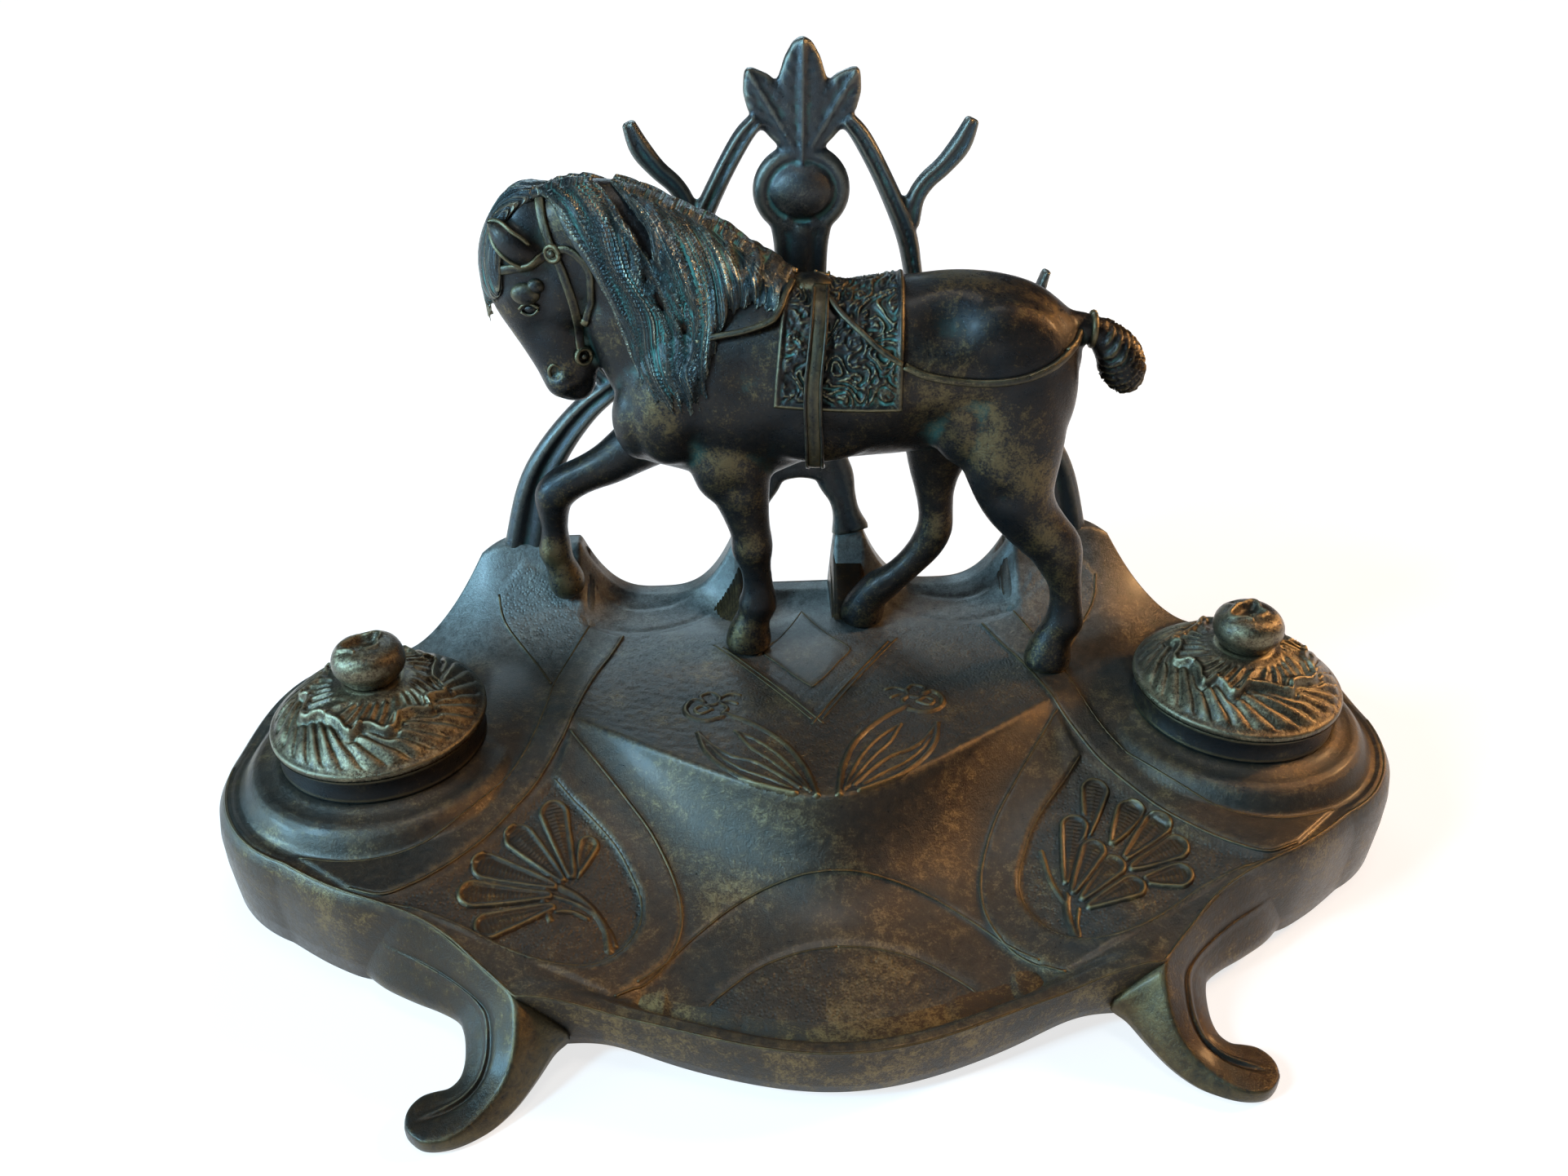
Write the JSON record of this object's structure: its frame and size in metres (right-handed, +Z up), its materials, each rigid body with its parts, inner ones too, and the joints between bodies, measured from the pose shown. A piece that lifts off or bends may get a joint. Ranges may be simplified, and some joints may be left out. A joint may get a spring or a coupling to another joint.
{
  "type": "desk inkstand",
  "caption": "Cast metal desk inkstand with a draught horse, a pierced back gallery, a pen tray and lift-off lids over the ink wells.",
  "frame": {"origin": "centre of the bounding box, on the surface that the feet stand on", "axes": "+X to the viewer's right along the row of wells, +Y to the back where the gallery stands, +Z up"},
  "size_m": [0.3518, 0.1844, 0.2213],
  "materials": {
    "dark_bronze": "dark patina, rubbed on the edges",
    "worn_bronze": "brown patina, rubbed bright on the high spots",
    "brass": "plain brass",
    "steel": "plain turned steel",
    "white_glaze": "white glaze"
  },
  "bodies": {
    "base": {"base_casting": "dark_bronze", "back_gallery": "dark_bronze", "gallery_screw_1": "steel", "gallery_screw_2": "steel", "gallery_screw_3": "steel", "gallery_screw_4": "steel", "left_well_collar": "dark_bronze", "right_well_collar": "dark_bronze", "horse_casting": "dark_bronze", "horse_tail": "dark_bronze", "horse_raised_foreleg": "dark_bronze", "foreleg_pin": "brass", "near_fore_stud": "steel", "near_fore_nut": "brass", "near_hind_stud": "steel", "near_hind_nut": "brass", "far_hind_stud": "steel", "far_hind_nut": "brass"},
    "left_liner": {"left_ink_liner": "white_glaze"},
    "left_cover": {"left_lid": "worn_bronze", "left_lid_knob": "worn_bronze", "left_knob_screw": "steel"},
    "right_liner": {"right_ink_liner": "white_glaze"},
    "right_cover": {"right_lid": "worn_bronze", "right_lid_knob": "worn_bronze", "right_knob_screw": "steel"}
  },
  "joints": [
    {"name": "left_liner_lift", "type": "slide", "parent": "base", "child": "left_liner", "axis": [0, 0, 1], "range_m": [0, 0.05]},
    {"name": "left_lid_lift", "type": "slide", "parent": "left_liner", "child": "left_cover", "axis": [0, 0, 1], "range_m": [0, 0.06]},
    {"name": "right_liner_lift", "type": "slide", "parent": "base", "child": "right_liner", "axis": [0, 0, 1], "range_m": [0, 0.05]},
    {"name": "right_lid_lift", "type": "slide", "parent": "right_liner", "child": "right_cover", "axis": [0, 0, 1], "range_m": [0, 0.06]}
  ]
}
